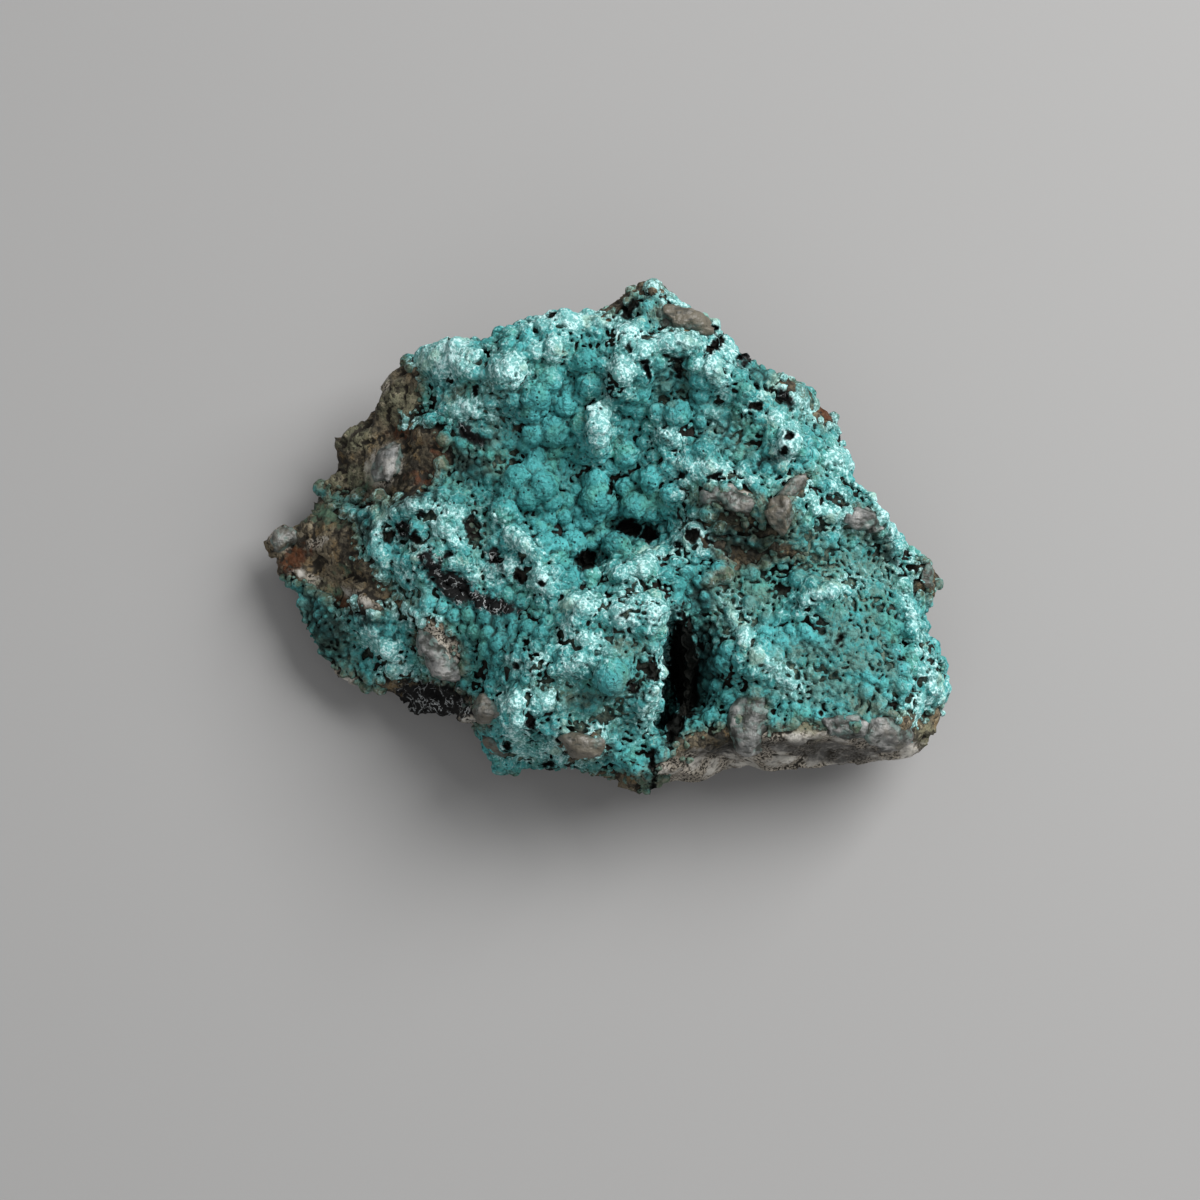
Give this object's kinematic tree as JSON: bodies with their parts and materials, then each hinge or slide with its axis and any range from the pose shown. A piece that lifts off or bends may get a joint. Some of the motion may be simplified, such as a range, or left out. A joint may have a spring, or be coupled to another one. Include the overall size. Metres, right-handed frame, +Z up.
{
  "type": "chrysocolla specimen",
  "caption": "Hand specimen of a quartz rock with a knobbly blue-green mineral crust on top, lying flat on a shelf or table as a display piece.",
  "frame": {"origin": "below the centre of the bounding box, on the surface that the specimen rests on", "axes": "+X along the length, from the thin tail to the thick end; +Y across, towards the back rim; +Z up, out of the crust"},
  "size_m": [0.077, 0.056, 0.028],
  "materials": {
    "chrysocolla_rock": "matte blue-green botryoidal crust with pale frosted highs, on brown and grey granular quartz rock"
  },
  "bodies": {
    "root": {"chrysocolla_specimen": "chrysocolla_rock"}
  },
  "joints": []
}
